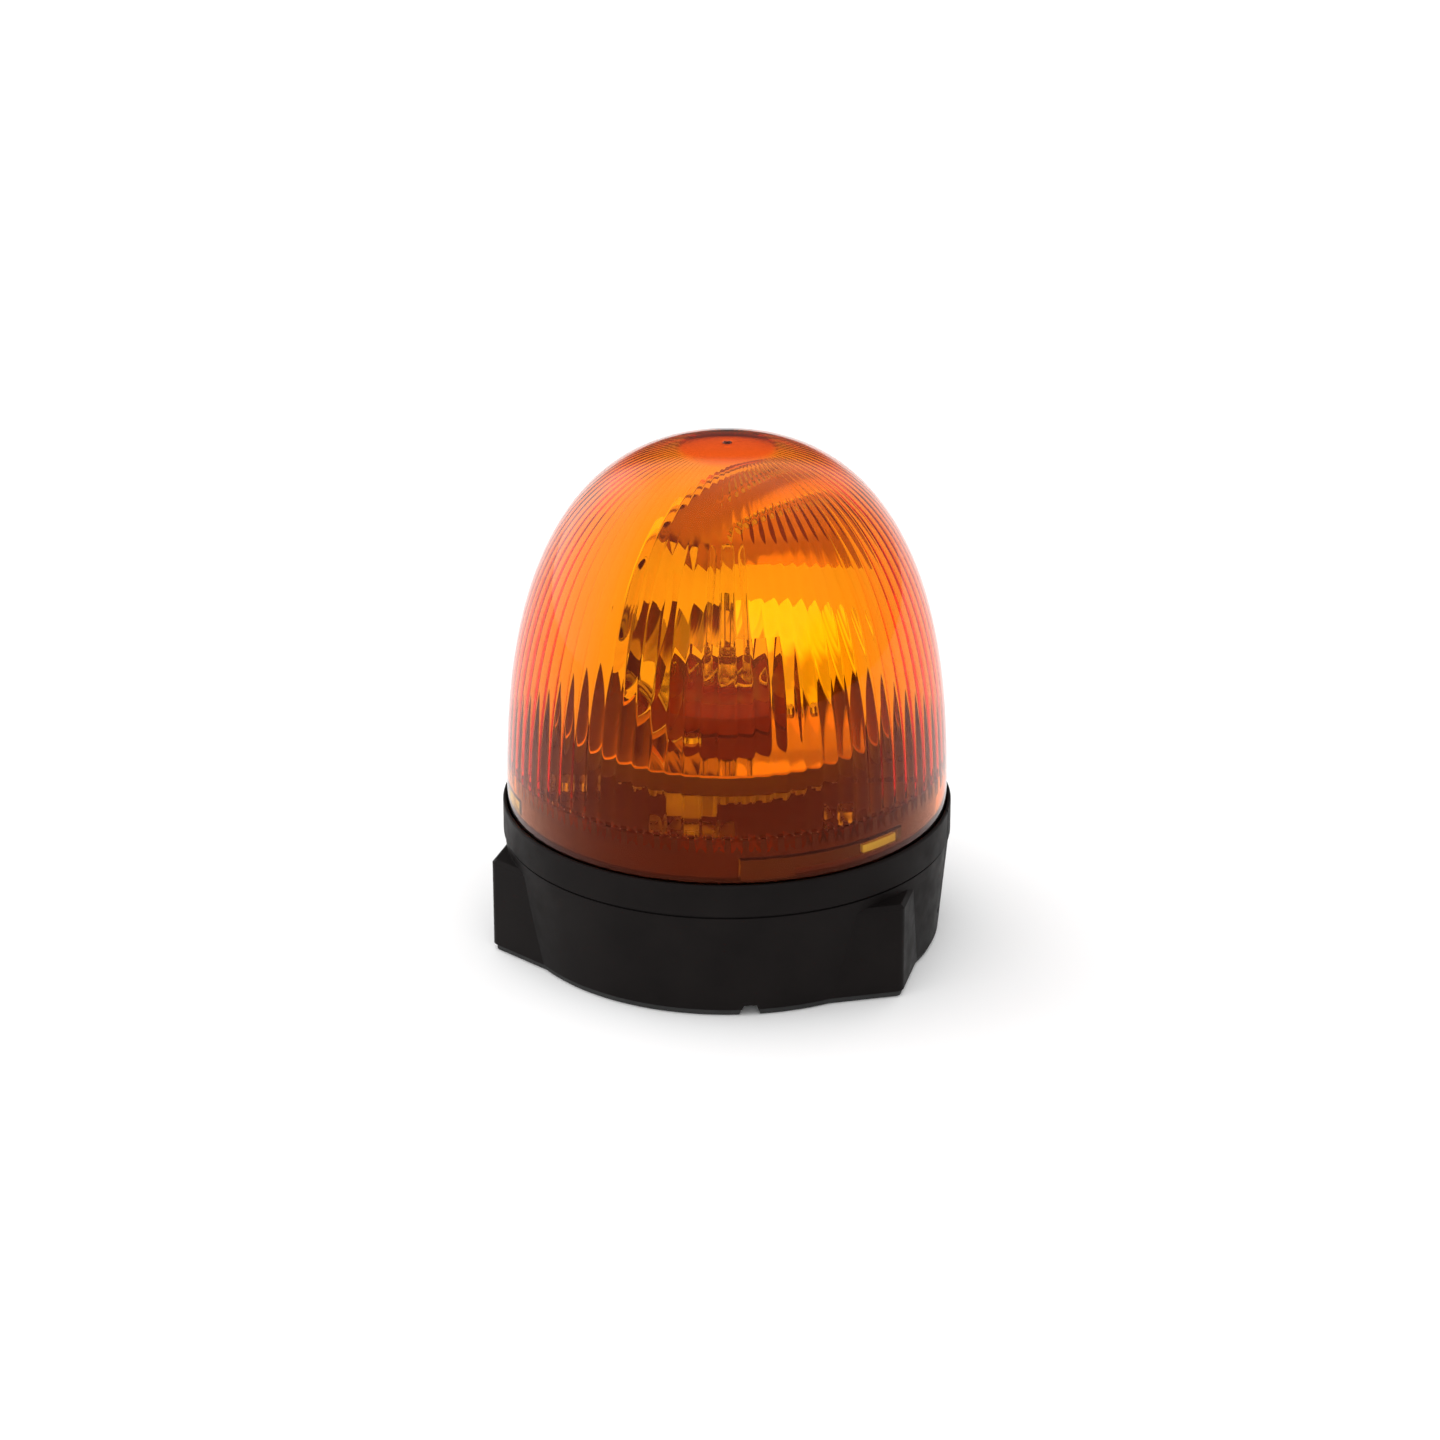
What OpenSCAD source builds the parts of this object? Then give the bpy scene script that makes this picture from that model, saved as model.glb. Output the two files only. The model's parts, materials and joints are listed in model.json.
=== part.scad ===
// Rotating warning beacon: an amber fluted lens with a bayonet foot on a round three-point base,
// and a reflector on a geared turntable that turns around a fixed halogen bulb.
// +Z is up along the rotor axis, z = 0 is the mounting face, and -Y is the front.

/* [Lens] */
// Outer radius of the lens at its skirt
lens_r = 69.5; // [64:0.5:86]
// Height of the lens top above the mounting face
lens_h = 162.8; // [158:0.2:200]
// Wall of the lens
lens_wall = 3; // [2.6:0.1:3.6]
// Fullness of the dome curve, where 2 is an ellipse
lens_fullness = 2.5; // [2.3:0.05:3]
// Number of flutes around the inside of the dome
flute_count = 78; // [60:3:84]
// Height of a flute's crest at the foot of the dome
flute_depth = 0.33; // [0.2:0.01:0.6]
// Height of the smooth band between the rim and the flutes
smooth_band = 14; // [12:0.5:18]
// Radius of the smooth crown above the flutes
crown_r = 15; // [10:1:22]
// Depth of the lens skirt below the rim
skirt_depth = 4; // [3:0.5:5]
// Radius of the moulding nub on the crown
nub_r = 1.1; // [0.8:0.1:2]

/* [Bayonet] */
// Turn that frees the lens, in degrees
twist = 34; // [24:1:40]
// Arc of one bayonet lug, in degrees
lug_arc = 11.8; // [8:0.2:14]
// Height of one lug
lug_h = 2.5; // [2:0.1:3]
// How far a lug stands out of the collar
lug_reach = 1.6; // [1.2:0.1:2]
// Height of the locking track above the rim
track_rise = 3; // [2:0.5:4]
// Height of the track in the lens wall
track_h = 5; // [4:0.2:6]

/* [Base] */
// Height of the rim that the lens drops into
rim_h = 45.3; // [40:0.1:50]
// Height of the rim band above the seam
rim_band = 10.3; // [8:0.1:14]
// Radius of the housing at its foot
foot_r = 67.6; // [62:0.1:84]
// Thickness of the lip around the lens
lip_t = 1.05; // [0.9:0.05:2]
// Wall of the housing
wall = 3; // [2.4:0.1:3.6]
// Thickness of the mounting gasket
gasket_t = 2; // [1.5:0.1:3]
// Height of the seal under the lens
seal_t = 1.8; // [1.4:0.1:2.5]
// Pitch circle of the three fixing points
bolt_pcd = 130; // [120:1:156]
// Tapping radius of a fixing insert
bolt_core_r = 3.4; // [2.5:0.1:4.2]
// Outer radius of a fixing insert, which passes through the gasket
insert_r = 5.5; // [5:0.1:6.5]
// Length of a fixing insert inside the housing
insert_l = 16; // [12:1:20]
// Distance from a fixing point out to its lobe's corner
lobe_reach = 11.2; // [9:0.1:14]
// Height of the lobes
lobe_h = 31; // [26:0.5:34]
// Angle between a lobe's face and its own direction, in degrees
lobe_face = 31.4; // [26:0.2:38]
// Radius of a lobe's corner
lobe_round = 3; // [2:0.5:5]
// Direction of the first lobe, in degrees
lobe_turn = -45; // [-90:1:90]
// Width of the drain notch under the foot
notch_w = 6; // [4:0.5:8]
// Height of the drain notch
notch_h = 3.4; // [2.5:0.1:4]
// Bore of the cable grommet
cable_r = 3.2; // [2.5:0.1:4]

/* [Drive] */
// Gear module
gear_m = 0.8; // [0.7:0.05:0.85]
// Teeth of the turntable gear
gear_teeth = 90; // [84:6:96]
// Teeth of the motor pinion
pinion_teeth = 15; // [14:1:17]
// Face width of the turntable gear
gear_w = 8; // [6:0.5:9]
// Radius of the motor can
motor_r = 13.9; // [12:0.1:15]
// Length of the motor can
motor_l = 28; // [24:1:30]
// Radius of the motor shaft
shaft_r = 1.5; // [1.2:0.1:2]
// Height of the chassis deck above the mounting face
deck_h = 51; // [49:0.5:54]
// Thickness of the chassis deck
deck_t = 3; // [2.4:0.1:4]
// Radius of the lamp post that the turntable runs on
post_r = 8; // [7:0.5:9]

/* [Lamp and reflector] */
// Height of the turntable's top face
table_h = 72.6; // [71:0.2:76]
// Radius of the turntable
table_r = 50; // [48:0.5:54]
// Height of the filament and of the reflector's focus
focus_h = 110; // [106:0.5:112]
// Focal length of the reflector
focal = 18; // [16:0.5:20]
// Radius of the reflector's mouth
mouth_r = 45; // [38:0.5:46]
// Wall of the reflector
mirror_t = 1.8; // [1.4:0.1:2.4]
// Way that the reflector faces at rest, in degrees
face_turn = -55; // [-180:1:180]
// Radius of the bulb glass
bulb_r = 4.7; // [4:0.1:5.5]
// Radius of the bulb's flange
flange_r = 7.25; // [6.5:0.05:8]
// Radius of the bulb socket
socket_r = 19; // [16:0.5:20]

/* [Hidden] */
$fn = 96;
// Small overlap that keeps cuts and joins clean
eps = 0.5;
// Gap between the lens and what it turns on or over
lens_gap = 0.35;
// Radial clearance of a running shaft
run_gap = 0.05;
// Gap between parts that turn and parts that stand
turn_gap = 0.6;
// Room around a part that is dropped into place
drop_gap = 0.3;

// Lens levels and radii
lens_ri = lens_r - lens_wall;
nub_h = 0.4;
dome_h = lens_h - nub_h;
dome_hi = dome_h - lens_wall;
skirt_z = rim_h - skirt_depth;
flute_z = rim_h + smooth_band;
flute_points = 4;
flute_rings = 10;
crest = [0, 0.75, 1, 0.75];
track_z = rim_h + track_rise;
track_room = 0.5;
track_depth = lug_reach - lens_gap + track_room;
track_r = lens_ri + track_depth;
track_play = 1.9;
entry_play = 0.5;
entry_arc = lug_arc + 2.7;

// Base levels and radii
rim_r = lens_r + lens_gap + lip_t;
lip_ri = lens_r + lens_gap;
seam_z = rim_h - rim_band;
seam_w = 0.8;
seam_depth = 0.6;
band_step = 0.4;
edge = 0.5;
seat_z = skirt_z - seal_t - lens_gap;
collar_r = lens_ri - lens_gap;
collar_ri = collar_r - wall;
collar_top = flute_z - eps;
cavity_r = rim_r - band_step - seam_depth - wall;
cavity_top = seat_z - wall;
cavity_bend = cavity_top - (cavity_r - collar_ri);
lobe_angles = [for (i = [0:2]) lobe_turn + 120 * i];
bolt_r = bolt_pcd / 2;
lobe_r = bolt_r + lobe_reach;
lobe_corner = lobe_r - lobe_round;
lobe_face_d = lobe_corner * cos(lobe_face) + lobe_round;
lobe_bevel = 1.2;
lobe_root = min(foot_r, bolt_r) - 4 * wall;
boss_wall = 2.5;
boss_r = insert_r + boss_wall;
boss_top = gasket_t + insert_l + wall;
lug_turn = lobe_turn - 1.5;
lug_z = track_z + 0.4;
lug_root = 1.2;
notch_turn = lobe_turn - 39;
slit_turn = lobe_turn + 33;
slit_arc = 0.7;
slit_foot = 11;
gasket_inset = 1;
gasket_w = 9;
gasket_ri = min(bolt_r - boss_r, foot_r - gasket_inset - gasket_w);
insert_floor = 2;

// Floor plate and pillars
plate_z = gasket_t + 1.6;
plate_t = 2.4;
plate_top = plate_z + plate_t;
plate_r = min(cavity_at(plate_z), cavity_at(plate_top)) - drop_gap;
pillar_r = 5;
pillar_gap = 2;
screw_r = 2;
screw_hole = 12;
screw_grip = 10;
screw_head_r = 3.6;
screw_head_h = 1.5;
wide_head_r = 4.4;
wide_head_h = 2.4;
small_head_r = 2.8;
small_head_h = 1.6;
grommet_r = cable_r + 4.6;
grommet_flange = 2;
grommet_groove = 2;
grommet_collar = 1.6;

// Chassis deck, dampers and motor
deck_z = deck_h - deck_t;
deck_r = collar_ri - 1.2;
deck_rim = 4;
deck_rim_t = wall - 0.6;
vent = [10, 4];
vent_step = 18;
bush_flange_r = 6.5;
bush_neck_r = 4.5;
bush_flange_t = 2.5;
bush_margin = 5;
pillar_x = min(bolt_r - boss_r - pillar_gap - pillar_r, deck_r - bush_flange_r - bush_margin);
pillar_top = deck_z - bush_flange_t;
rib_end = min(foot_r, cavity_r + wall) - wall / 2;
motor_turn = lobe_turn - 60;
gear_r = gear_m * gear_teeth / 2;
pinion_r = gear_m * pinion_teeth / 2;
mesh_gap = 0.06;
motor_x = gear_r + pinion_r + mesh_gap;
motor_z = deck_z - motor_l;
motor_neck_r = 5;
motor_cap_t = 3;
motor_screw_x = 8.5;
motor_grip = 4;
motor_end = 3;
terminal_x = 6;
terminal_l = 5;
terminal = [4, 0.8, terminal_l + 2];
motor_foot = motor_z - motor_cap_t - terminal_l;

// Turntable disc
table_t = 2.6;
table_skirt = 6.6;
table_skirt_t = 2;
post_room = 1.5;
table_under = table_h - table_t;

// Gear teeth
pressure = 20;
addendum = 0.8 * gear_m;
dedendum = 1.05 * gear_m;
backlash = 0.2;
gear_top = table_under - 4.5;
gear_z = gear_top - gear_w;
pinion_top = gear_top - 1;
pinion_z = gear_z - 0.5;

// Turntable hub and lamp
hub_r = post_r + 6;
bush_t = 2;
bush_ri = post_r + run_gap;
bush_r = bush_ri + bush_t;
post_flange_r = 14;
post_flange_t = 3;
post_screw_x = post_flange_r - 3;
post_bore = 5;
washer_t = 0.5;
hub_z = deck_h + post_flange_t + washer_t + drop_gap;
post_top = table_h + turn_gap;
boss_x = 24;
boss_hole = 1.5;
table_grip = 6;
table_boss_r = 4;
bulb_plane = focus_h - 25;
socket_neck = 1.8;
body_top = bulb_plane - socket_neck;
neck_r = 9.6;
socket_bore = 6;
cap_skirt_r = socket_bore - drop_gap;
cap_sleeve_r = bulb_r + 0.9;
cap_flange_t = 1;
cap_sleeve_h = 6;
cap_skirt_h = 5;
bulb_l = 44;
bulb_tip = bulb_plane + bulb_l;
glass_t = 0.8;
stem_h = 7;
blade_w = 6.3;
blade_t = 0.8;
blade_l = 17;
blade_root = 2;
blade_z = bulb_plane - blade_root - blade_l;
clip_r = 0.6;
clip_x = 12;
clip_y = 6.2;
clip_grip = 3;
clip_z = bulb_plane + cap_flange_t + clip_r;
mouth_s = mouth_r * mouth_r / (4 * focal) - focal;
rim_flange = 2;
mirror_steps = 12;
socket_clear = socket_r + 3;

// Terminal block and leads
block = [22, 12, 12];
block_pitch = 10;
block_grip = 5;
block_at = [-11, 20, plate_top];
lead_r = 1.1;
lead_sides = 8;
motor_at = motor_x * [cos(motor_turn), sin(motor_turn)];
terminal_at = [
    motor_at.x - terminal_x * sin(motor_turn),
    motor_at.y + terminal_x * cos(motor_turn)
];
motor_route = [
    [-5, 20, 12], [-5, 17, 12], [-8, 12, 11], [-13, 6, 9], [-15, -2, 8], [-13, -14, 7.6],
    [-9, -26, 7.6], [terminal_at.x - 1, terminal_at.y + 6, 7.6], [terminal_at.x, terminal_at.y + 1.5, 8.4],
    [terminal_at.x, terminal_at.y, 10.2], [terminal_at.x, terminal_at.y, motor_foot]
];
lamp_route = [
    [5, 20, 12], [5, 16, 12], [5, 11, 13], [4, 6, 17], [2, 2, 24], [0, 0, 32], [0, 0, 44],
    [0, 0, blade_z]
];

// Point of a dome profile: radius and height at angle t, for foot radius r and top height h
function dome(r, h, t) = [
    r * pow(cos(t), 2 / lens_fullness),
    rim_h + (h - rim_h) * pow(sin(t), 2 / lens_fullness)
];

// Angle on the dome profile at which the height is z
function dome_at_height(h, z) = asin(pow((z - rim_h) / (h - rim_h), lens_fullness / 2));

// Angle on the dome profile at which the radius is q
function dome_at_radius(r, q) = acos(pow(q / r, lens_fullness / 2));

// Inward normal of the inner dome profile
function dome_normal(t) =
    let (a = dome(lens_ri, dome_hi, t - 0.2), b = dome(lens_ri, dome_hi, t + 0.2), d = b - a)
    [-d.y, d.x] / norm(d);

// One point of the fluted inner surface: profile angle t, point k around, at height shift dz
function flute_point(t, k) =
    let (
        p = dome(lens_ri, dome_hi, t),
        lift = flute_depth * p.x / lens_ri * crest[k % flute_points],
        q = p + lift * dome_normal(t),
        a = 360 * k / (flute_points * flute_count)
    )
    [q.x * cos(a), q.x * sin(a), q.y];

// Radius of the hollow inside the housing at height z, below its bend
function cavity_at(z) =
    foot_r - wall + (cavity_r - foot_r + wall) * (z - gasket_t + eps) / (cavity_bend - gasket_t + eps);

// Angle of an involute flank at radius r past its base circle
function involute(base_r, r) =
    r <= base_r ? 0 : let (a = acos(base_r / r)) tan(a) * 180 / PI - a;

// Half of a tooth's angle at radius r
function tooth_half(teeth, r) =
    let (pitch_r = gear_m * teeth / 2, base_r = pitch_r * cos(pressure))
    90 / teeth - backlash / 4 / pitch_r * 180 / PI
    + involute(base_r, pitch_r) - involute(base_r, r);

// Outline of a spur gear with a tooth on the +X axis
function gear_outline(teeth) =
    let (
        pitch_r = gear_m * teeth / 2,
        root_r = pitch_r - dedendum,
        base_r = max(root_r, pitch_r * cos(pressure)),
        tip_r = pitch_r + addendum,
        up = base_r > root_r ? [root_r, base_r, pitch_r, tip_r] : [root_r, pitch_r, tip_r],
        n = len(up)
    )
    [
        for (i = [0:teeth - 1], j = [0:2 * n - 1])
        let (
            r = j < n ? up[j] : up[2 * n - 1 - j],
            side = j < n ? -1 : 1,
            a = 360 / teeth * i + side * tooth_half(teeth, r)
        )
        r * [cos(a), sin(a)]
    ];

// Unit vector along v
function unit(v) = v / norm(v);

// Direction of a route at its point i
function heading(route, i) =
    unit(route[min(i + 1, len(route) - 1)] - route[max(i - 1, 0)]);

// One ring of a tube that is swept along a route
function tube_ring(route, i, r) =
    let (
        ahead = i == 0 ? unit(route[1] - route[0])
            : i == len(route) - 1 ? unit(route[i] - route[i - 1]) : heading(route, i),
        side = unit(cross(ahead, [1, 0.02, 0.01])),
        up = cross(side, ahead)
    )
    [
        for (k = [0:lead_sides - 1])
        let (a = 360 * k / lead_sides)
        route[i] + r * (cos(a) * side + sin(a) * up)
    ];

// Closed tube along a route of points
module tube(route, r) {
    last = len(route) - 1;
    points = [for (i = [0:last]) each tube_ring(route, i, r)];
    walls = [
        for (i = [0:last - 1], k = [0:lead_sides - 1])
        let (a = i * lead_sides + k, b = i * lead_sides + (k + 1) % lead_sides)
        each [[a, a + lead_sides, b], [b, a + lead_sides, b + lead_sides]]
    ];
    start_cap = [[for (k = [0:lead_sides - 1]) k]];
    end_cap = [[for (k = [lead_sides - 1:-1:0]) last * lead_sides + k]];
    polyhedron(points, concat(walls, start_cap, end_cap));
}

// Copies of a piece at the three lobe directions, a distance x out from the axis
module at_lobes(x) {
    for (a = lobe_angles) rotate(a) translate([x, 0, 0]) children();
}

// Copies of a piece at the screws of the lamp post's flange
module at_post_screws() {
    for (i = [0:2]) rotate(lobe_turn + 60 + 120 * i) translate([post_screw_x, 0, 0]) children();
}

// Copies of a piece at the bosses that join the turntable and the reflector
module at_table_bosses() {
    for (i = [0:2]) rotate(face_turn + 60 + 120 * i) translate([boss_x, 0, 0]) children();
}

// Copies of a piece at the motor's fixing screws
module at_motor_screws() {
    at_motor() for (y = motor_screw_x * [-1, 1]) translate([0, y, 0]) children();
}

// A piece on the motor's axis, with +X pointing out from the rotor axis
module at_motor() {
    rotate(motor_turn) translate([motor_x, 0, 0]) children();
}

// Copies of a piece at the motor's two contact tags
module at_terminals() {
    for (y = terminal_x * [-1, 1])
        translate([-terminal.x / 2, y - terminal.y / 2, motor_foot]) children();
}

// Straight tube between two heights
module ring(outer_r, inner_r, z1, z2) {
    translate([0, 0, z1]) difference() {
        cylinder(r = outer_r, h = z2 - z1);
        translate([0, 0, -eps]) cylinder(r = inner_r, h = z2 - z1 + 2 * eps);
    }
}

// Solid disc between two heights
module disc(r, z1, z2) {
    translate([0, 0, z1]) cylinder(r = r, h = z2 - z1);
}

// Sector of a ring between two radii and heights, from an angle on through an arc
module sector(r1, r2, z1, z2, from, arc) {
    rotate(from) rotate_extrude(angle = arc) translate([r1, z1]) square([r2 - r1, z2 - z1]);
}

// Pan-head screw with its head's seat at height z
module pan_screw(z, r, l, head_r, head_h) {
    disc(r, z - l, z);
    translate([0, 0, z]) cylinder(r1 = head_r, r2 = head_r * 0.8, h = head_h);
}

// Plan of one lobe along +X: two flat faces that meet in a rounded corner
module lobe_plan(inset) {
    q = lobe_round - inset;
    polygon([
        lobe_root * [cos(lobe_face), -sin(lobe_face)],
        (lobe_face_d - inset) * [cos(lobe_face), -sin(lobe_face)],
        for (a = [-lobe_face:lobe_face / 4:lobe_face]) [lobe_corner, 0] + q * [cos(a), sin(a)],
        (lobe_face_d - inset) * [cos(lobe_face), sin(lobe_face)],
        lobe_root * [cos(lobe_face), sin(lobe_face)]
    ]);
}

// Hollow under the dome: the fluted surface closed below and over the crown
module flute_hollow() {
    n = flute_points * flute_count;
    t1 = dome_at_height(dome_hi, flute_z);
    t2 = dome_at_radius(lens_ri, crown_r);
    foot = [for (k = [0:n - 1]) let (p = flute_point(t1, k)) [p.x, p.y, flute_z - eps]];
    rings = [
        for (i = [0:flute_rings], k = [0:n - 1])
        flute_point(t1 + (t2 - t1) * i / flute_rings, k)
    ];
    points = concat(foot, rings, [[0, 0, flute_z - eps], [0, 0, dome_hi]]);
    foot_centre = len(points) - 2;
    crown_centre = len(points) - 1;
    top = (flute_rings + 1) * n;
    walls = [
        for (i = [0:flute_rings], k = [0:n - 1])
        let (a = i * n + k, b = i * n + (k + 1) % n)
        each [[a, a + n, b], [b, a + n, b + n]]
    ];
    floor = [for (k = [0:n - 1]) [foot_centre, k, (k + 1) % n]];
    crown = [for (k = [0:n - 1]) [crown_centre, top + (k + 1) % n, top + k]];
    polyhedron(points, concat(walls, floor, crown));
}

module lens_dome() {
    steps = 26;
    color("darkorange") difference() {
        union() {
            rotate_extrude() polygon([
                [0, skirt_z],
                [lens_r, skirt_z],
                for (i = [0:steps]) dome(lens_r, dome_h, 90 * i / steps)
            ]);
            disc(nub_r, dome_h - lens_wall / 2, lens_h);
        }
        disc(lens_ri, skirt_z - eps, flute_z);
        flute_hollow();
        for (i = [0:2]) rotate(lug_turn - lug_arc / 2 - twist - entry_play + 120 * i) {
            sector(lens_ri - eps, track_r, skirt_z - eps, track_z + track_h, 0, entry_arc);
            sector(lens_ri - eps, track_r, track_z, track_z + track_h, 0,
                lug_arc + twist + entry_play + track_play);
        }
    }
}

// Section of the housing as a solid plug: wall, seam, rim, seat and collar
module housing_section() {
    wall_top = rim_r - band_step;
    polygon([
        [0, gasket_t],
        [foot_r, gasket_t],
        [wall_top, seam_z - seam_w],
        [wall_top - seam_depth, seam_z - seam_w],
        [wall_top - seam_depth, seam_z],
        [rim_r, seam_z],
        [rim_r, rim_h - edge],
        [rim_r - edge / 2, rim_h],
        [lip_ri, rim_h],
        [lip_ri, seat_z],
        [collar_r, seat_z],
        [collar_r, collar_top - edge],
        [collar_r - edge, collar_top],
        [0, collar_top]
    ]);
}

// Section of the hollow inside the housing, open at both ends
module cavity_section() {
    polygon([
        [0, gasket_t - eps],
        [foot_r - wall, gasket_t - eps],
        [cavity_r, cavity_bend],
        [collar_ri, cavity_top],
        [collar_ri, collar_top + eps],
        [0, collar_top + eps]
    ]);
}

// Fixing lobe along +X, its top edge bevelled along both faces and over the corner
module lobe() {
    cut = 4 * lobe_bevel;
    difference() {
        translate([0, 0, gasket_t]) linear_extrude(lobe_h - gasket_t) lobe_plan(0);
        for (side = [-1:1])
            rotate(side * lobe_face)
                translate([(side == 0 ? lobe_r : lobe_face_d) - lobe_bevel, 0, lobe_h])
                    rotate([0, 45, 0])
                        translate([-cut / 2, -lobe_r, 0]) cube([cut, 2 * lobe_r, cut]);
    }
}

// Drain notch through the foot, narrowing upwards
module drain_notch() {
    foot_w = notch_w / 2 + 0.4;
    top_w = notch_w / 2 - 1;
    rotate(notch_turn) translate([gasket_ri - wall, 0, 0]) rotate([90, 0, 90])
        linear_extrude(foot_r - gasket_ri + 3 * wall) polygon([
            [-foot_w, -eps],
            [foot_w, -eps],
            [top_w, notch_h],
            [-top_w, notch_h]
        ]);
}

// Narrow upright slit in the outer wall, with a small pit at its foot
module wall_slit() {
    cut = 0.7;
    foot = foot_r + (rim_r - band_step - foot_r) * slit_foot / seam_z;
    rotate(slit_turn) {
        rotate_extrude(angle = slit_arc) polygon([
            [foot - cut, slit_foot],
            [foot + 2, slit_foot],
            [rim_r + 2, seam_z],
            [rim_r + 2, rim_h + eps],
            [rim_r - cut, rim_h + eps],
            [rim_r - cut, seam_z]
        ]);
        translate([foot - cut, 0, slit_foot]) rotate([0, 90, 0]) cylinder(r = 1.2, h = 3);
    }
}

module base_housing() {
    color([0.11, 0.105, 0.1]) difference() {
        union() {
            rotate(lobe_turn + 60) difference() {
                union() {
                    rotate_extrude() housing_section();
                    for (i = [0:2]) rotate(120 * i - 60) lobe();
                }
                rotate_extrude() cavity_section();
            }
            at_lobes(bolt_r) disc(boss_r, gasket_t + edge, boss_top);
            at_lobes(pillar_x) disc(pillar_r, plate_top, pillar_top);
            for (a = lobe_angles) rotate(a) translate([pillar_x, -wall / 2, plate_top])
                cube([rib_end - pillar_x, wall, cavity_top - plate_top - wall]);
        }
        at_lobes(bolt_r) disc(insert_r, gasket_t - eps, gasket_t + insert_l);
        at_lobes(pillar_x) {
            disc(screw_r, plate_top - eps, plate_top + screw_hole);
            disc(screw_r, pillar_top - screw_hole, pillar_top + eps);
        }
        for (i = [0:2])
            sector(collar_r - lug_root, collar_r + eps, lug_z, lug_z + lug_h,
                lug_turn - lug_arc / 2 + 120 * i, lug_arc);
        drain_notch();
        wall_slit();
    }
}

module mounting_gasket() {
    color([0.07, 0.07, 0.07]) difference() {
        linear_extrude(gasket_t) difference() {
            union() {
                circle(r = foot_r - gasket_inset);
                for (a = lobe_angles) rotate(a) lobe_plan(gasket_inset);
            }
            circle(r = gasket_ri);
        }
        at_lobes(bolt_r) disc(insert_r, -eps, gasket_t + eps);
        drain_notch();
    }
}

module fixing_inserts() {
    color("goldenrod") at_lobes(bolt_r) difference() {
        disc(insert_r, 0, gasket_t + insert_l);
        disc(bolt_core_r, -eps, gasket_t + insert_l - insert_floor);
    }
}

module bottom_plate() {
    color([0.13, 0.13, 0.13]) difference() {
        union() {
            disc(plate_r, plate_z, plate_top);
            ring(grommet_r + grommet_collar, grommet_r, plate_z, plate_top + grommet_collar);
        }
        disc(grommet_r - grommet_groove, plate_z - eps, plate_top + 2);
        disc(grommet_r, plate_z + plate_t, plate_top + 2);
        at_lobes(bolt_r) disc(boss_r + drop_gap, plate_z - eps, plate_top + eps);
        at_lobes(pillar_x) disc(screw_r + drop_gap, plate_z - eps, plate_top + eps);
    }
}

module plate_screws() {
    color("silver") at_lobes(pillar_x) mirror([0, 0, 1])
        pan_screw(-plate_z, screw_r, plate_t + screw_grip, screw_head_r, screw_head_h);
}

module cable_grommet() {
    neck = grommet_r - grommet_groove;
    color([0.09, 0.09, 0.09]) rotate_extrude() polygon([
        [cable_r, plate_z - grommet_flange + 0.4],
        [grommet_r - 1, plate_z - grommet_flange + 0.4],
        [grommet_r, plate_z],
        [neck, plate_z],
        [neck, plate_top],
        [grommet_r, plate_top],
        [grommet_r - 1.4, plate_top + grommet_flange],
        [cable_r + 1.4, plate_top + 2 * grommet_flange],
        [cable_r, plate_top + 2 * grommet_flange]
    ]);
}

module lens_seal() {
    color([0.08, 0.08, 0.08]) ring(lip_ri - 0.1, collar_r, seat_z, seat_z + seal_t);
}

module bayonet_lugs() {
    color([0.86, 0.84, 0.78]) for (i = [0:2])
        sector(collar_r - lug_root, collar_r + lug_reach - lens_gap, lug_z, lug_z + lug_h,
            lug_turn - lug_arc / 2 + 120 * i, lug_arc);
}

module chassis_deck() {
    vent_x = deck_r - 1.2 * vent.x;
    color([0.15, 0.15, 0.15]) difference() {
        union() {
            disc(deck_r, deck_z, deck_h);
            ring(deck_r, deck_r - deck_rim_t, deck_z - deck_rim, deck_h);
        }
        disc(post_bore, deck_z - eps, deck_h + eps);
        at_lobes(pillar_x) disc(bush_neck_r, deck_z - eps, deck_h + eps);
        at_motor() disc(motor_neck_r + drop_gap, deck_z - eps, deck_h + eps);
        at_motor_screws() disc(screw_r, deck_z - eps, deck_h + eps);
        for (i = [0:1], a = vent_step * [-1, 0, 1]) rotate(lobe_turn + 60 + 120 * i + a)
            translate([vent_x, 0, deck_z - eps])
                linear_extrude(deck_t + 2 * eps) square(vent, center = true);
        at_post_screws() disc(boss_hole, deck_z - eps, deck_h + eps);
    }
}

module damping_bushes() {
    color([0.08, 0.08, 0.08]) at_lobes(pillar_x) difference() {
        union() {
            disc(bush_flange_r, deck_z - bush_flange_t, deck_z);
            disc(bush_neck_r, deck_z, deck_h);
            disc(bush_flange_r, deck_h, deck_h + bush_flange_t);
        }
        disc(screw_r, deck_z - bush_flange_t - eps, deck_h + bush_flange_t + eps);
    }
}

module deck_screws() {
    l = deck_h + bush_flange_t - pillar_top + screw_grip;
    color("silver") at_lobes(pillar_x)
        pan_screw(deck_h + bush_flange_t, screw_r, l, wide_head_r, wide_head_h);
}

module motor_can() {
    color("lightsteelblue") difference() {
        at_motor() difference() {
            union() {
                disc(motor_r, motor_z, deck_z);
                disc(motor_neck_r, deck_z, deck_h + 0.5);
            }
            disc(shaft_r + run_gap, motor_z + motor_end, deck_h + 1);
        }
        at_motor_screws() disc(screw_r, deck_z - motor_grip - 1, deck_z + eps);
    }
}

module motor_cap() {
    color([0.2, 0.2, 0.2]) at_motor() difference() {
        disc(motor_r - 0.8, motor_z - motor_cap_t, motor_z);
        at_terminals() cube(terminal);
    }
}

module motor_terminals() {
    color("goldenrod") at_motor() at_terminals() cube(terminal);
}

module motor_screws() {
    color("silver") at_motor_screws()
        pan_screw(deck_h, screw_r, deck_t + motor_grip, screw_head_r, 2 * screw_head_h);
}

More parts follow.
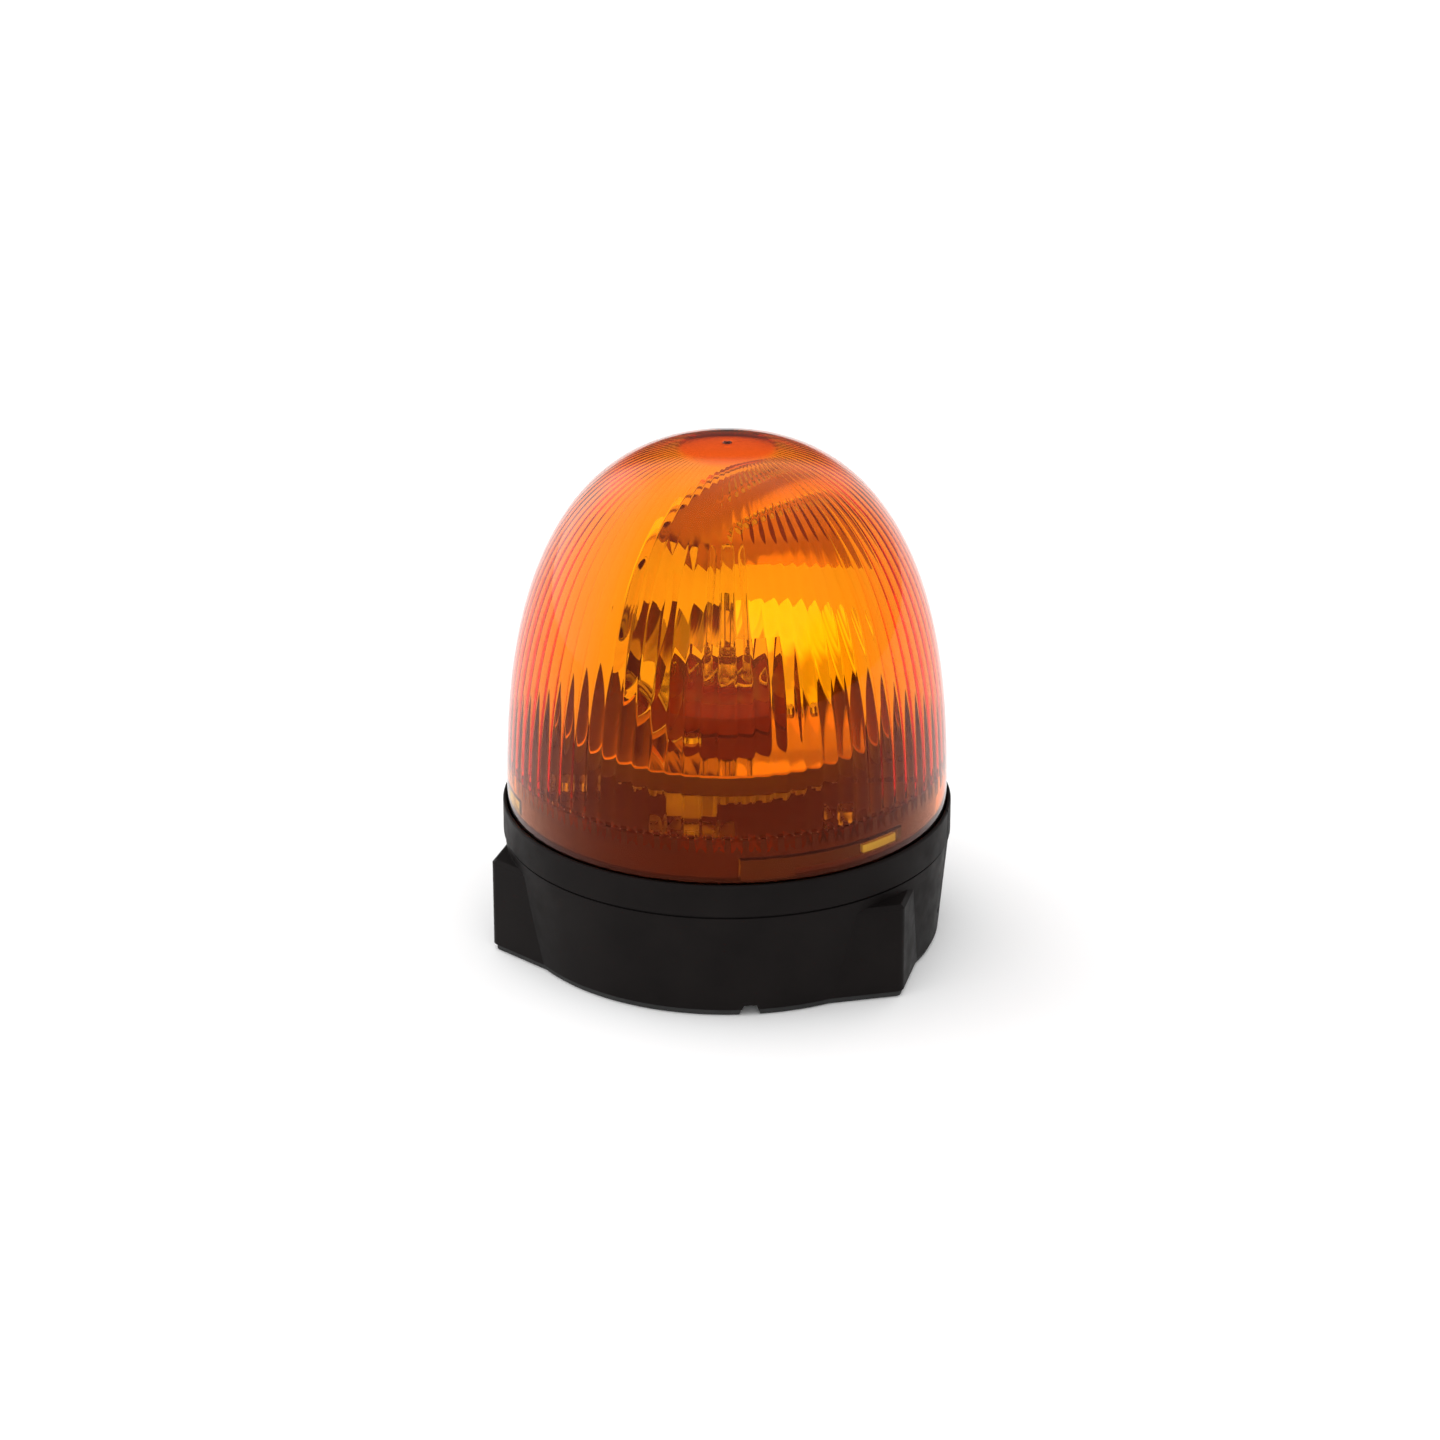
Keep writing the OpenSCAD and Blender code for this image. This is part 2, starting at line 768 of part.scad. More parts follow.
module motor_shaft() {
    color("silver") at_motor() disc(shaft_r, motor_z + motor_end + 1, pinion_top + 1);
}

module drive_pinion() {
    color("ivory") at_motor() rotate(180 - 180 / pinion_teeth) difference() {
        translate([0, 0, pinion_z]) linear_extrude(pinion_top - pinion_z)
            polygon(gear_outline(pinion_teeth));
        disc(shaft_r, pinion_z - eps, pinion_top + eps);
    }
}

module lamp_post() {
    color([0.16, 0.16, 0.16]) difference() {
        union() {
            disc(post_flange_r, deck_h, deck_h + post_flange_t);
            disc(post_r, deck_h, post_top);
        }
        disc(post_bore, deck_h - eps, post_top + eps);
        at_post_screws() disc(boss_hole, deck_h - eps, deck_h + post_flange_t + eps);
    }
}

module post_screws() {
    color("silver") at_post_screws() mirror([0, 0, 1])
        pan_screw(-deck_z, boss_hole, deck_t + post_flange_t - edge, small_head_r, small_head_h);
}

module thrust_washer() {
    z = deck_h + post_flange_t;
    color("gainsboro") ring(hub_r - 1, post_r, z, z + washer_t);
}

module turntable_gear() {
    web_z = gear_z + 2.5;
    web_t = 3;
    web_hole = 3.4;
    gear_rim = gear_r - dedendum - 2.6;
    color("ivory") difference() {
        union() {
            translate([0, 0, gear_z]) linear_extrude(gear_w) rotate(motor_turn)
                polygon(gear_outline(gear_teeth));
            disc(hub_r, hub_z, table_under);
            at_table_bosses() disc(table_boss_r, web_z, table_under);
        }
        difference() {
            disc(gear_rim, gear_z - eps, gear_top + eps);
            disc(gear_rim + eps, web_z, web_z + web_t);
            disc(hub_r, hub_z, table_under);
            at_table_bosses() disc(table_boss_r, web_z, table_under);
        }
        disc(bush_r, hub_z - eps, table_under + eps);
        at_table_bosses() disc(boss_hole, table_under - table_grip - 2, table_under + eps);
        for (i = [0:5]) rotate(face_turn + 30 + 60 * i) translate([boss_x, 0, 0])
            disc(web_hole, web_z - eps, web_z + web_t + eps);
    }
}

module turntable_bush() {
    color("peru") ring(bush_r, bush_ri, hub_z, table_under);
}

// Parabolic shell about +X with its focus at the origin, its mouth flanged outwards
module mirror_shell() {
    function bowl(q, shift) = [q, q * q / (4 * focal) - focal - shift];
    rotate([0, 90, 0]) rotate_extrude() polygon([
        for (i = [0:mirror_steps]) bowl(mouth_r * i / mirror_steps, 0),
        [mouth_r + rim_flange, mouth_s],
        [mouth_r + rim_flange, mouth_s - mirror_t],
        for (i = [mirror_steps:-1:0]) bowl(mouth_r * i / mirror_steps, mirror_t)
    ]);
}

// Solid that fills the parabolic shell in front of its outer surface
module mirror_fill() {
    rotate([0, 90, 0]) rotate_extrude() polygon([
        for (i = [0:mirror_steps])
        let (q = mouth_r * i / mirror_steps) [q, q * q / (4 * focal) - focal - mirror_t / 2],
        [mouth_r, mouth_s + table_r],
        [0, mouth_s + table_r]
    ]);
}

module reflector() {
    rib_t = 2;
    rib_x = 15;
    rib_l = focal + 12;
    color("gainsboro") difference() {
        union() {
            rotate(face_turn) difference() {
                translate([0, 0, focus_h]) mirror_shell();
                disc(2 * table_r, focus_h - 2 * mouth_r, table_h - table_t / 2);
            }
            rotate(face_turn) difference() {
                for (y = rib_x * [-1, 1]) translate([-rib_l, y - rib_t / 2, table_h - 1])
                    cube([rib_l, rib_t, focus_h - 8 - table_h]);
                translate([0, 0, focus_h]) mirror_fill();
            }
            disc(table_r, table_under, table_h);
            ring(table_r, table_r - table_skirt_t, table_h - table_skirt, table_h);
        }
        disc(post_r + post_room, table_under - eps, table_h + eps);
        disc(socket_clear, table_h, bulb_plane + cap_sleeve_h);
        at_table_bosses() disc(boss_hole, table_under - eps, table_h + eps);
    }
}

module reflector_screws() {
    color("silver") at_table_bosses()
        pan_screw(table_h, boss_hole, table_t + table_grip, small_head_r, small_head_h);
}

// Copies of a piece at the two legs of the bulb's clip, with +X pointing over the bulb
module at_clip_legs() {
    rotate(face_turn) for (y = clip_y * [-1, 1]) translate([-clip_x, y, 0]) children();
}

module bulb_socket() {
    spigot_l = 4;
    spigot_wall = 1.2;
    color([0.24, 0.2, 0.18]) difference() {
        union() {
            disc(socket_r, post_top, body_top);
            disc(neck_r, post_top, bulb_plane);
            disc(post_bore, post_top - spigot_l, post_top);
        }
        disc(socket_bore, post_top + spigot_wall, bulb_plane + eps);
        disc(post_bore - spigot_wall, post_top - spigot_l - eps, bulb_plane);
        at_clip_legs() disc(clip_r, body_top - clip_grip, body_top + eps);
    }
}

module bulb_cap() {
    color("silver") difference() {
        union() {
            disc(flange_r, bulb_plane, bulb_plane + cap_flange_t);
            disc(cap_skirt_r, bulb_plane - cap_skirt_h, bulb_plane);
            disc(cap_sleeve_r, bulb_plane, bulb_plane + cap_sleeve_h);
        }
        disc(bulb_r, bulb_plane + cap_flange_t, bulb_plane + cap_sleeve_h + eps);
        bulb_blade();
    }
}

// Profile of the bulb: straight glass with a rounded end, grown outwards by d
module bulb_profile(d) {
    shoulder = bulb_tip - bulb_r;
    polygon([
        [0, bulb_plane + cap_flange_t],
        [bulb_r + d, bulb_plane + cap_flange_t],
        for (a = [0:15:90]) [(bulb_r + d) * cos(a), shoulder + (bulb_r + d) * sin(a)]
    ]);
}

module bulb_glass() {
    color([0.95, 0.93, 0.88]) difference() {
        rotate_extrude() bulb_profile(0);
        difference() {
            rotate_extrude() bulb_profile(-glass_t);
            disc(2 * bulb_r, bulb_plane - eps, bulb_plane + stem_h);
        }
    }
}

module bulb_filament() {
    coil_r = 0.9;
    coil_l = 5;
    wire_r = 0.35;
    wire_x = 1.9;
    low = focus_h - coil_l / 2;
    high = focus_h + coil_l / 2;
    color("dimgray") rotate(face_turn) {
        disc(coil_r, low, high);
        translate([0, wire_x, 0]) disc(wire_r, bulb_plane + stem_h, high + wire_r);
        translate([0, -wire_x, 0]) disc(wire_r, bulb_plane + stem_h, low + wire_r);
        translate([0, 0, high]) rotate([-90, 0, 0]) cylinder(r = wire_r, h = wire_x);
        translate([0, 0, low]) rotate([90, 0, 0]) cylinder(r = wire_r, h = wire_x);
    }
}

module bulb_blade() {
    color("silver") rotate(face_turn)
        translate([-blade_t / 2, -blade_w / 2, blade_z]) cube([blade_t, blade_w, blade_l]);
}

module bulb_clip() {
    loop_x = 7;
    color("silver") {
        at_clip_legs() {
            translate([0, 0, clip_z]) rotate([0, 90, 0]) cylinder(r = clip_r, h = clip_x + loop_x);
            disc(clip_r, body_top - clip_grip, clip_z);
            translate([0, 0, clip_z]) sphere(r = clip_r);
        }
        rotate(face_turn) translate([loop_x, 0, clip_z]) rotate(-90) rotate_extrude(angle = 180)
            translate([clip_y, 0]) circle(r = clip_r);
    }
}

// Copies of a piece at the terminal block's two screws
module at_block_screws() {
    for (x = block_pitch / 2 * [-1, 1]) translate([x, block_at.y + block.y / 2, 0]) children();
}

module terminal_block() {
    color([0.8, 0.78, 0.72]) difference() {
        translate(block_at) cube(block);
        at_block_screws() disc(screw_r, plate_top + block.z - block_grip, plate_top + block.z + eps);
    }
}

module terminal_screws() {
    color("goldenrod") at_block_screws()
        pan_screw(plate_top + block.z, screw_r, block_grip, small_head_r, small_head_h);
}

module motor_lead() {
    color("firebrick") tube(motor_route, lead_r);
}

module lamp_lead() {
    color([0.15, 0.2, 0.5]) tube(lamp_route, lead_r);
}

lens_dome();
base_housing();
mounting_gasket();
fixing_inserts();
bottom_plate();
plate_screws();
cable_grommet();
lens_seal();
bayonet_lugs();
chassis_deck();
damping_bushes();
deck_screws();
motor_can();
motor_cap();
motor_terminals();
motor_screws();
motor_shaft();
drive_pinion();
lamp_post();
post_screws();
thrust_washer();
turntable_gear();
turntable_bush();
reflector();
reflector_screws();
bulb_socket();
bulb_cap();
bulb_glass();
bulb_filament();
bulb_blade();
bulb_clip();
terminal_block();
terminal_screws();
motor_lead();
lamp_lead();
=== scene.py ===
import json
import math
import bpy
import bmesh
from mathutils import Matrix, Vector


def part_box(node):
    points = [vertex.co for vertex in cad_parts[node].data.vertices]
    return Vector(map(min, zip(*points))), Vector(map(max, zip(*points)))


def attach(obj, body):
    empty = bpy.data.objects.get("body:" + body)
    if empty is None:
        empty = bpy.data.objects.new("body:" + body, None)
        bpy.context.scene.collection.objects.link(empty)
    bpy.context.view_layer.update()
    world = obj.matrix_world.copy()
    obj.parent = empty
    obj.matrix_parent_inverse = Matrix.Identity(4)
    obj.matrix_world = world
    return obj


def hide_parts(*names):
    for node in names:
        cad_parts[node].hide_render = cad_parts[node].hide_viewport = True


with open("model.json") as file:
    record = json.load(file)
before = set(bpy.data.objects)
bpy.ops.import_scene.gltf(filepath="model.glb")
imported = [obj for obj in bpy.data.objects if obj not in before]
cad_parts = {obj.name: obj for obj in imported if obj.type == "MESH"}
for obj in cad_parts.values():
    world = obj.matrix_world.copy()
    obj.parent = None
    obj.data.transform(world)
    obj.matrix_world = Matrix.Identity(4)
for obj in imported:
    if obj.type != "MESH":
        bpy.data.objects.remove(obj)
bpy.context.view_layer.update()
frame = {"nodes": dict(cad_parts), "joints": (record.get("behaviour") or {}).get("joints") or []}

scene = bpy.context.scene
NODE = frame["nodes"]
MM = 0.001


def box_mm(node):
    """Lowest and highest corner of a node in millimetres."""
    return [[round(c / MM, 3) for c in corner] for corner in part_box(node)]


# Sizes that the frame gives, in millimetres and degrees
(_, _, SKIRT_Z), (LENS_R, _, LENS_TOP) = box_mm("lens_dome")
(_, _, TABLE_FOOT), (TABLE_R, _, BOWL_TOP) = box_mm("reflector")
_, (SOCKET_R, _, BULB_PLANE) = box_mm("bulb_socket")
_, (BULB_R, _, BULB_TIP) = box_mm("bulb_glass")
TWIST = next(j for j in frame["joints"] if j["name"] == "lens_twist")["range_deg"][1]

# Lens: wall, dome curve, skirt, smooth band, crown, nub and flutes, as in the part's source
LENS_WALL, FULLNESS = 3.0, 2.5
SKIRT_DEPTH, SMOOTH_BAND = 4.0, 14.0
CROWN_R, NUB_R, NUB_H = 15.0, 1.1, 0.4
FLUTES, FLUTE_DEPTH = 78, 0.33
LENS_RI = LENS_R - LENS_WALL
RIM_H = SKIRT_Z + SKIRT_DEPTH
DOME_H = LENS_TOP - NUB_H
DOME_HI = DOME_H - LENS_WALL
FLUTE_Z = RIM_H + SMOOTH_BAND

# Power by which the flutes fade towards the crown, and columns of the mesh over one flute
FLUTE_FADE, FLUTE_COLUMNS = 1.5, 8
LENS_COLUMNS = FLUTES * FLUTE_COLUMNS
LENS_STEP = 360 / LENS_COLUMNS

# Top of the smooth band, a small gap under the flutes
BAND_GAP = 0.15
BAND_TOP = FLUTE_Z - BAND_GAP

# Bayonet: lugs and tracks in degrees, then the track's rise, height, wall behind it and side slope
LUGS, LUG_TURN, LUG_ARC = 3, -46.5, 11.8
TRACK_PLAY, ENTRY_PLAY, ENTRY_ROOM = 1.9, 0.5, 2.7
TRACK_RISE, TRACK_H, TRACK_WALL, TRACK_SLOPE = 3.0, 5.0, 1.25, 0.5
TRACK_Z = RIM_H + TRACK_RISE
TRACK_R = LENS_R - TRACK_WALL

# Reflector and turntable, and the way that the reflector faces at rest in degrees
FOCAL, MOUTH_R, MOUTH_FLANGE, MIRROR_T, FACE = 18.0, 45.0, 2.0, 1.8, -55.0
TABLE_T, TABLE_SKIRT, SKIRT_T, POST_CLEAR = 2.6, 6.6, 2.0, 9.5
RIB_X, RIB_T, RIB_BACK, RIB_DROP = 15.0, 2.0, -30.0, 9.0
FOCUS_H = BOWL_TOP - MOUTH_R - MOUTH_FLANGE
TABLE_H = TABLE_FOOT + TABLE_SKIRT
RIB_TOP = FOCUS_H - RIB_DROP

# Room for the bulb socket: around it, under the turntable's top and above the bulb's flange plane
SOCKET_GAP, ROOM_BELOW, ROOM_ABOVE = 3.0, 3.0, 6.0
SOCKET_CLEAR = SOCKET_R + SOCKET_GAP

# Depth to which bowl and ribs sink into the disc, and the break of the reflector's edges
SINK, EDGE = 0.3, 0.3

# Bulb: glass wall, gap under the glass and height of the stem above the flange plane
GLASS_T, GLASS_LIFT, STEM_H = 0.8, 1.0, 7.0

# Floor: half its width, and its drop below the mounting face
FLOOR_HALF, FLOOR_DROP = 8000, 0.2

# Angles in degrees past which an edge is sharp: on mouldings, on bowl and bulb, and on lens and wires
SHARP, SHARP_CURVE, SHARP_FINE = 35, 40, 60

# Camera fitted to the photograph: tilt, distance, what it looks at, and focal length in pixels
CAM_TILT, CAM_FAR, CAM_X, CAM_Z = 22.690, 1.3606, -0.0022, 0.07015
CAM_FOCAL, PHOTO_W, SENSOR_W = 4322.8, 1440, 36

# Light of the studio: its level, and patches of (azimuth, elevation, inner and outer angle, level)
# Azimuth 0 points at the camera and grows to its right
PALE = 1.05
PATCHES = [
    (0, 90, 34, 42, 1.5),
    (180, 16, 14, 26, 0.12),
    (105, 5, 25, 45, 0.5),
    (0, 10, 17, 29, 2.4),
    (57, 3, 12, 23, 0.05),
    (-115, 15, 25, 45, 2.2),
]


# Mesh helpers

def add_mesh(name, verts, faces, sharp=SHARP, wound=False):
    """Mesh object from points in millimetres, smooth but for edges sharper than an angle in degrees.
    Faces that are wound one way all over stay so, because a new reckoning turns a hollow inside out."""
    me = bpy.data.meshes.new(name)
    me.from_pydata([tuple(c * MM for c in v) for v in verts], [], faces)
    me.validate()
    bm = bmesh.new()
    bm.from_mesh(me)
    if not wound:
        bmesh.ops.recalc_face_normals(bm, faces=bm.faces)
    elif bm.calc_volume(signed=True) < 0:
        bmesh.ops.reverse_faces(bm, faces=bm.faces)
    bm.to_mesh(me)
    bm.free()
    ob = bpy.data.objects.new(name, me)
    scene.collection.objects.link(ob)
    smooth(ob, sharp)
    return ob


def smooth(ob, sharp):
    for p in ob.data.polygons:
        p.use_smooth = True
    ob.data.set_sharp_from_angle(angle=math.radians(sharp))


def polar(r, degrees, z):
    a = math.radians(degrees)
    return (r * math.cos(a), r * math.sin(a), z)


def arc(cx, cz, r, a0, a1, n):
    """Points of an arc about (cx, cz) between two angles in degrees."""
    angles = [math.radians(a0 + (a1 - a0) * i / n) for i in range(n + 1)]
    return [(cx + r * math.cos(a), cz + r * math.sin(a)) for a in angles]


def revolve(name, profile, n=96, sharp=SHARP, closed=True):
    """Body of revolution about Z of (r, z) points; closed joins the last point to the first."""
    verts, faces, rows = [], [], []
    for r, z in profile:
        if r < 1e-6:
            rows.append([len(verts)] * n)
            verts.append((0, 0, z))
        else:
            rows.append(list(range(len(verts), len(verts) + n)))
            verts += [polar(r, 360 * k / n, z) for k in range(n)]
    pairs = list(zip(rows, rows[1:]))
    if closed:
        pairs.append((rows[-1], rows[0]))
    for a, b in pairs:
        for k in range(n):
            q = (k + 1) % n
            corners = list(dict.fromkeys([a[k], a[q], b[q], b[k]]))
            if len(corners) > 2:
                faces.append(corners)
    return add_mesh(name, verts, faces, sharp, wound=True)


def tube(name, points, r, sides=8):
    """Closed round wire along points."""
    verts, faces = [], []
    last = len(points) - 1
    side = Vector((0, 0, 0))
    for i, p in enumerate(points):
        ahead = Vector(points[min(i + 1, last)]) - Vector(points[max(i - 1, 0)])
        ahead.normalize()
        if i == 0:
            side = ahead.orthogonal()
        side = (side - ahead * side.dot(ahead)).normalized()
        up = ahead.cross(side)
        for k in range(sides):
            a = 2 * math.pi * k / sides
            verts.append(Vector(p) + r * (math.cos(a) * side + math.sin(a) * up))
    for i in range(last):
        for k in range(sides):
            a, b = i * sides + k, i * sides + (k + 1) % sides
            faces.append((a, b, b + sides, a + sides))
    faces.append(tuple(range(sides - 1, -1, -1)))
    faces.append(tuple(last * sides + k for k in range(sides)))
    return add_mesh(name, verts, faces, SHARP_FINE)


def cut(ob, tool):
    """Takes the shape of tool out of ob and removes tool."""
    mod = ob.modifiers.new("cut", "BOOLEAN")
    mod.object = tool
    mod.operation = "DIFFERENCE"
    mod.solver = "EXACT"
    bpy.context.view_layer.objects.active = ob
    bpy.ops.object.modifier_apply(modifier="cut")
    bpy.data.objects.remove(tool)


def join(name, parts):
    """One object out of several."""
    bm = bmesh.new()
    for p in parts:
        bm.from_mesh(p.data)
    me = bpy.data.meshes.new(name)
    bm.to_mesh(me)
    bm.free()
    for p in parts:
        bpy.data.objects.remove(p)
    ob = bpy.data.objects.new(name, me)
    scene.collection.objects.link(ob)
    return ob


def turn(ob, degrees):
    """Turns a mesh about the Z axis."""
    ob.data.transform(Matrix.Rotation(math.radians(degrees), 4, "Z"))


# Material helpers

class Mat:
    """Principled material with procedural colour, roughness and grain."""

    # Part of a noise's range that colours and roughness spread over, and the weight of its fine detail
    LOW, HIGH, FINE = 0.3, 0.7, 0.55

    def __init__(self, name, color, rough, metal=0.0):
        self.m = bpy.data.materials.new(name)
        self.m.use_nodes = True
        self.t = self.m.node_tree
        self.b = self.t.nodes["Principled BSDF"]
        self.set("Base Color", (*color, 1))
        self.set("Roughness", rough)
        self.set("Metallic", metal)
        self.co = self.t.nodes.new("ShaderNodeTexCoord").outputs["Object"]

    def set(self, socket, value):
        self.b.inputs[socket].default_value = value

    def node(self, kind, **values):
        n = self.t.nodes.new(kind)
        for k, v in values.items():
            n.inputs[k].default_value = v
        return n

    def link(self, a, b):
        self.t.links.new(a, b)

    def noise(self, scale, detail=3.0):
        n = self.node("ShaderNodeTexNoise", Scale=scale, Detail=detail, Roughness=self.FINE)
        self.link(self.co, n.inputs["Vector"])
        return n.outputs["Fac"]

    def color(self, fac, c0, c1):
        r = self.node("ShaderNodeValToRGB")
        for el, place, c in zip(r.color_ramp.elements, (self.LOW, self.HIGH), (c0, c1)):
            el.position = place
            el.color = (*c, 1)
        self.link(fac, r.inputs["Fac"])
        self.link(r.outputs["Color"], self.b.inputs["Base Color"])

    def shade_axis(self, far, near, color):
        """Blends the colour towards another one between two distances from the Z axis in millimetres."""
        flat = self.node("ShaderNodeVectorMath")
        flat.operation = "MULTIPLY"
        flat.inputs[1].default_value = (1, 1, 0)
        self.link(self.co, flat.inputs[0])
        span = self.node("ShaderNodeVectorMath")
        span.operation = "LENGTH"
        self.link(flat.outputs["Vector"], span.inputs[0])
        fade = self.node("ShaderNodeMapRange", **{"From Min": far * MM, "From Max": near * MM})
        fade.interpolation_type = "SMOOTHSTEP"
        self.link(span.outputs["Value"], fade.inputs["Value"])
        mix = self.node("ShaderNodeMix")
        mix.data_type = "RGBA"
        # Colour sockets of the node, which share their names with those of its other kinds
        first, second, result = mix.inputs[6], mix.inputs[7], mix.outputs[2]
        self.link(fade.outputs["Result"], mix.inputs["Factor"])
        base = self.b.inputs["Base Color"]
        self.link(base.links[0].from_socket, first)
        second.default_value = (*color, 1)
        self.link(result, base)

    def rough(self, fac, low, high):
        r = self.node("ShaderNodeMapRange", **{"From Min": self.LOW, "From Max": self.HIGH,
                                               "To Min": low, "To Max": high})
        self.link(fac, r.inputs["Value"])
        self.link(r.outputs["Result"], self.b.inputs["Roughness"])

    def bump(self, height, strength, depth, rounding=0.0):
        """Grain of a depth in millimetres; rounding softens the edges by a radius in millimetres."""
        n = self.node("ShaderNodeBump", Strength=strength, Distance=depth * MM)
        self.link(height, n.inputs["Height"])
        if rounding:
            soft = self.node("ShaderNodeBevel", Radius=rounding * MM)
            self.link(soft.outputs["Normal"], n.inputs["Normal"])
        self.link(n.outputs["Normal"], self.b.inputs["Normal"])


def mottled(name, low, high, rough, metal=0.0, spots=150, grain=None):
    """Material whose colour and roughness vary between two values.
    Spots is the scale of its noise, and grain is (scale, strength, depth) and perhaps a rounding."""
    mat = Mat(name, low, rough[0], metal)
    mat.color(mat.noise(spots, detail=4), low, high)
    mat.rough(mat.noise(2 * spots), *rough)
    if grain:
        mat.bump(mat.noise(grain[0], detail=2), *grain[1:])
    return mat


def metallic(name, low, high, rough, spots):
    return mottled(name, low, high, rough, metal=1.0, spots=spots)


def transparent(name, low, high, spots, ior):
    """Clear material whose tint varies slightly."""
    mat = Mat(name, low, 0.0)
    mat.color(mat.noise(spots, detail=2), low, high)
    mat.set("Transmission Weight", 1.0)
    mat.set("IOR", ior)
    return mat


def put(ob, *mats):
    """Gives an object its materials; faces keep their slot, which clearing the list would reset."""
    slots = [p.material_index for p in ob.data.polygons]
    ob.data.materials.clear()
    for mat in mats:
        ob.data.materials.append(mat.m)
    if len(mats) > 1:
        ob.data.polygons.foreach_set("material_index", slots)


# Clear materials: the lens is coloured by its depth, and deeper red over the crown

CROWN_BLEND = 1.5
amber = transparent("amber_polycarbonate", (1.0, 0.95, 0.86), (1.0, 0.98, 0.92), spots=22, ior=1.5)
amber.shade_axis(CROWN_R + CROWN_BLEND, CROWN_R - CROWN_BLEND, (1.0, 0.45, 0.3))
# Red-orange specular tint on the lens: painted shade that darkens the white floor in its reflections
amber.set("Specular Tint", (1.0, 0.2, 0.1, 1.0))
tint = amber.node("ShaderNodeVolumeAbsorption", Color=(0.996, 0.81, 0.0, 1.0), Density=1000.0)
amber.link(tint.outputs["Volume"], amber.t.nodes["Material Output"].inputs["Volume"])
glass = transparent("bulb_quartz", (0.97, 0.97, 0.96), (1.0, 1.0, 0.99), spots=60, ior=1.46)


# Plastics and rubber

black = mottled("black_moulding", (0.006, 0.0048, 0.0046), (0.009, 0.0072, 0.0068), (0.42, 0.58),
                spots=60, grain=(2600, 0.25, 0.06, 0.45))
black.set("Specular IOR Level", 0.05)
dark = mottled("dark_moulding", (0.016, 0.015, 0.0145), (0.026, 0.025, 0.024), (0.4, 0.55),
               spots=80, grain=(1800, 0.2, 0.05))
rubber = mottled("black_rubber", (0.008, 0.008, 0.008), (0.016, 0.016, 0.015), (0.65, 0.85),
                 spots=120, grain=(1500, 0.3, 0.05))
phenolic = mottled("brown_phenolic", (0.13, 0.007, 0.005), (0.19, 0.012, 0.008), (0.35, 0.55),
                   spots=160, grain=(1400, 0.2, 0.05))
nylon = mottled("natural_nylon", (0.70, 0.67, 0.57), (0.8, 0.77, 0.68), (0.35, 0.5), spots=120)
white = mottled("white_moulding", (0.7, 0.68, 0.62), (0.8, 0.78, 0.73), (0.35, 0.55), spots=140)
red = mottled("red_insulation", (0.34, 0.022, 0.015), (0.46, 0.04, 0.028), (0.35, 0.5), spots=200)
blue = mottled("blue_insulation", (0.024, 0.05, 0.26), (0.038, 0.075, 0.36), (0.35, 0.5), spots=200)


# Metals

chrome = metallic("vacuum_metallised", (0.9, 0.9, 0.91), (0.95, 0.95, 0.955), (0.01, 0.04), spots=40)
dull = metallic("metallised_back", (0.74, 0.74, 0.75), (0.84, 0.84, 0.85), (0.34, 0.48), spots=60)
# Top of the turntable disc in its lit colour; the dark moulding on its rim and skirt is painted shade
disc_lit_top = metallic("turntable_lit_top", (0.46, 0.27, 0.21), (0.56, 0.33, 0.27), (0.03, 0.08), spots=40)
steel = metallic("zinc_plate", (0.5, 0.5, 0.48), (0.68, 0.68, 0.66), (0.22, 0.42), spots=300)
brass = metallic("brass", (0.6, 0.42, 0.17), (0.78, 0.58, 0.28), (0.22, 0.4), spots=240)
bronze = metallic("sintered_bronze", (0.4, 0.25, 0.12), (0.58, 0.4, 0.22), (0.35, 0.55), spots=800)
tungsten = metallic("tungsten", (0.14, 0.14, 0.15), (0.28, 0.28, 0.29), (0.35, 0.5), spots=900)


# Finish of the CAD nodes

FINISH = {
    black: ["base_housing"],
    dark: ["bottom_plate", "chassis_deck", "motor_cap", "lamp_post"],
    rubber: ["mounting_gasket", "cable_grommet", "lens_seal", "damping_bushes"],
    brass: ["fixing_inserts", "motor_terminals", "bulb_blade", "terminal_screws"],
    steel: ["plate_screws", "deck_screws", "motor_screws", "motor_can", "motor_shaft", "post_screws",
            "reflector_screws", "bulb_clip", "bulb_cap"],
    nylon: ["bayonet_lugs", "drive_pinion", "turntable_gear", "thrust_washer"],
    bronze: ["turntable_bush"],
    chrome: ["reflector"],
    phenolic: ["bulb_socket"],
    white: ["terminal_block"],
    glass: ["bulb_glass"],
    tungsten: ["bulb_filament"],
    amber: ["lens_dome"],
    red: ["motor_lead"],
    blue: ["lamp_lead"],
}
for mat, names in FINISH.items():
    for name in names:
        put(NODE[name], mat)


# Lens: dome with flutes inside, smooth foot band with bayonet tracks

class Shell:
    """Rings of points around the Z axis, one point to a column, and the faces between them."""

    def __init__(self):
        self.verts = []
        self.faces = []

    def point(self, r, degrees, z):
        self.verts.append(polar(r, degrees, z))
        return len(self.verts) - 1

    def ring(self, profile):
        """Adds a ring whose (radius, height) profile gives for every column."""
        return [self.point(profile(k)[0], k * LENS_STEP, profile(k)[1]) for k in range(LENS_COLUMNS)]

    def loft(self, rings):
        for a, b in zip(rings, rings[1:]):
            for k in range(LENS_COLUMNS):
                q = (k + 1) % LENS_COLUMNS
                self.faces.append((a[k], a[q], b[q], b[k]))

    def cap(self, ring, z):
        top = self.point(0, 0, z)
        for k in range(LENS_COLUMNS):
            self.faces.append((ring[k], ring[(k + 1) % LENS_COLUMNS], top))


def dome(r, h, t):
    """Point (radius, height) of a dome profile at angle t, for a foot radius and a top height."""
    c, s = max(math.cos(math.radians(t)), 0), math.sin(math.radians(t))
    return (r * c ** (2 / FULLNESS), RIM_H + (h - RIM_H) * s ** (2 / FULLNESS))


